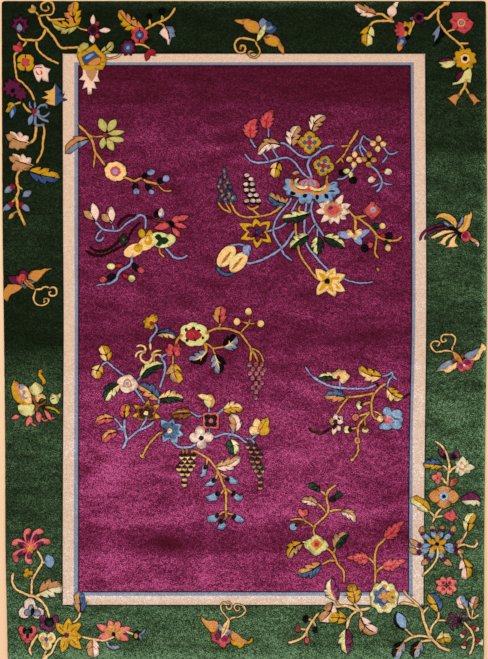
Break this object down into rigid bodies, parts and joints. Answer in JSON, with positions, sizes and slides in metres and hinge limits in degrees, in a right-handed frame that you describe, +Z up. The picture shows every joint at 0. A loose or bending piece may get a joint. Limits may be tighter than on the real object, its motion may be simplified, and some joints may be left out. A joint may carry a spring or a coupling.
{
  "type": "rug",
  "caption": "Hand-knotted wool pile rug with flowers, leaves and butterflies carved round in the pile, a banded border and a flat woven underside.",
  "frame": {"origin": "middle of the rug's box, on its underside", "axes": "+Z up out of the pile, +Y along the rug's length towards the wider end, +X across it"},
  "size_m": [2.6944, 3.66, 0.014],
  "materials": {
    "wool_pile": "dyed wool cut pile, plum field and dark green border"
  },
  "bodies": {
    "root": {"pile_rug": "wool_pile"}
  },
  "joints": []
}
